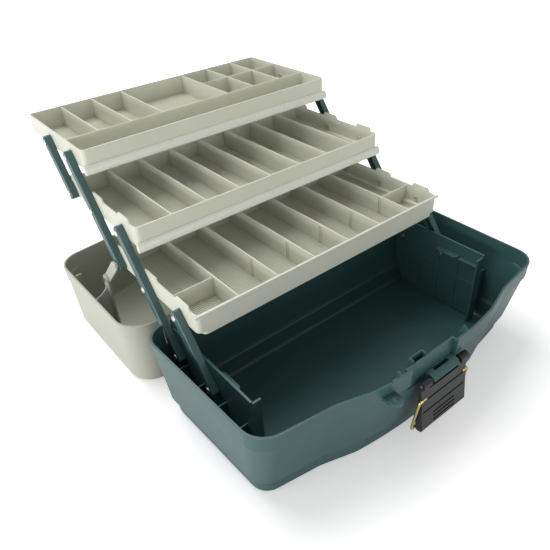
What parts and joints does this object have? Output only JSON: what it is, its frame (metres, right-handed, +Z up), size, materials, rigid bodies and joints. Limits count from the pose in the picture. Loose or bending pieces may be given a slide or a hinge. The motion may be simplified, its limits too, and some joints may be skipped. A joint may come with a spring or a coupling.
{
  "type": "tackle box",
  "caption": "Cantilever tackle box with stepped swing-out trays, a deep hinged lid, a folding handle and a front latch with a wire bail.",
  "frame": {"origin": "on the ground, at the middle of the base tub's underside", "axes": "+X along the box to the user's right, +Y from the latch to the hinges, +Z up"},
  "size_m": [0.5154, 0.6421, 0.3048],
  "materials": {
    "base_plastic": "satin moulded",
    "arm_plastic": "satin moulded",
    "tray_plastic": "satin moulded",
    "lid_plastic": "fine satin",
    "handle_plastic": "fine grain",
    "latch_plastic": "ribbed satin",
    "rivet_aluminium": "set heads",
    "pin_steel": "drawn",
    "bail_brass": "bright drawn wire"
  },
  "bodies": {
    "base": {"base_tub": "base_plastic", "base_bracket_left": "base_plastic", "base_bracket_right": "base_plastic", "latch_mount": "base_plastic", "padlock_eye_base": "base_plastic", "rivets_base": "rivet_aluminium", "hinge_pins": "pin_steel", "latch_pin": "pin_steel"},
    "lid": {"lid": "lid_plastic", "lid_stay_pins": "pin_steel", "lid_catch": "lid_plastic", "padlock_eye_lid": "lid_plastic", "handle_pins": "pin_steel"},
    "handle": {"handle": "handle_plastic"},
    "lid_stays": {"lid_stay_left": "lid_plastic", "lid_stay_right": "lid_plastic"},
    "front_arms": {"front_arm_left": "arm_plastic", "front_arm_right": "arm_plastic"},
    "rear_arms": {"rear_arm_left": "arm_plastic", "rear_arm_right": "arm_plastic"},
    "bottom_tray": {"tray_bottom": "tray_plastic", "tray_divider_left": "tray_plastic", "tray_divider_right": "tray_plastic", "rivets_bottom_tray": "rivet_aluminium"},
    "middle_arms": {"middle_arm_left": "arm_plastic", "middle_arm_right": "arm_plastic"},
    "middle_tray": {"tray_middle": "tray_plastic", "rivets_middle_tray": "rivet_aluminium"},
    "top_arms": {"top_arm_left": "arm_plastic", "top_arm_right": "arm_plastic"},
    "top_tray": {"tray_top": "tray_plastic", "rivets_top_tray": "rivet_aluminium"},
    "latch": {"latch_lever": "latch_plastic"},
    "bail": {"latch_bail": "bail_brass"}
  },
  "joints": [
    {"name": "lid_hinge", "type": "hinge", "parent": "base", "child": "lid", "pos_m": [0, 0.15, 0.119], "axis": [1, 0, 0], "range_deg": [0, 113]},
    {"name": "stay_swing", "type": "hinge", "parent": "lid", "child": "lid_stays", "pos_m": [0, 0.281, 0.123], "axis": [1, 0, 0], "range_deg": [0, 24.4]},
    {"name": "handle_fold", "type": "hinge", "parent": "lid", "child": "handle", "pos_m": [0, 0.286, 0.0065], "axis": [-1, 0, 0], "range_deg": [0, 90]},
    {"name": "front_arm_swing", "type": "hinge", "parent": "base", "child": "front_arms", "pos_m": [0, 0.03245, 0.0893], "axis": [1, 0, 0], "range_deg": [0, 100.3]},
    {"name": "rear_arm_swing", "type": "hinge", "parent": "base", "child": "rear_arms", "pos_m": [0, 0.10795, 0.0893], "axis": [1, 0, 0], "range_deg": [0, 100.3]},
    {"name": "bottom_tray_level", "type": "hinge", "parent": "front_arms", "child": "bottom_tray", "pos_m": [0, 0.09, 0.1635], "axis": [1, 0, 0], "range_deg": [-100.3, 0]},
    {"name": "middle_arm_swing", "type": "hinge", "parent": "bottom_tray", "child": "middle_arms", "pos_m": [0, 0.241, 0.1635], "axis": [1, 0, 0], "range_deg": [0, 100.3]},
    {"name": "middle_tray_level", "type": "hinge", "parent": "middle_arms", "child": "middle_tray", "pos_m": [0, 0.28881, 0.22513], "axis": [1, 0, 0], "range_deg": [-100.3, 0]},
    {"name": "top_arm_swing", "type": "hinge", "parent": "middle_tray", "child": "top_arms", "pos_m": [0, 0.36431, 0.22513], "axis": [1, 0, 0], "range_deg": [0, 100.3]},
    {"name": "top_tray_level", "type": "hinge", "parent": "top_arms", "child": "top_tray", "pos_m": [0, 0.41212, 0.28676], "axis": [1, 0, 0], "range_deg": [-100.3, 0]},
    {"name": "latch_swing", "type": "hinge", "parent": "base", "child": "latch", "pos_m": [0, -0.134, 0.101], "axis": [-1, 0, 0], "range_deg": [0, 150]},
    {"name": "bail_swing", "type": "hinge", "parent": "latch", "child": "bail", "pos_m": [0, -0.1375, 0.08], "axis": [1, 0, 0], "range_deg": [0, 8]}
  ],
  "couplings": [
    {"joint": "stay_swing", "follows": "lid_hinge", "ratio": 0.21478},
    {"joint": "front_arm_swing", "follows": "lid_hinge", "ratio": 0.88661},
    {"joint": "rear_arm_swing", "follows": "lid_hinge", "ratio": 0.88661},
    {"joint": "bottom_tray_level", "follows": "lid_hinge", "ratio": -0.88661},
    {"joint": "middle_arm_swing", "follows": "lid_hinge", "ratio": 0.88661},
    {"joint": "middle_tray_level", "follows": "lid_hinge", "ratio": -0.88661},
    {"joint": "top_arm_swing", "follows": "lid_hinge", "ratio": 0.88661},
    {"joint": "top_tray_level", "follows": "lid_hinge", "ratio": -0.88661}
  ]
}
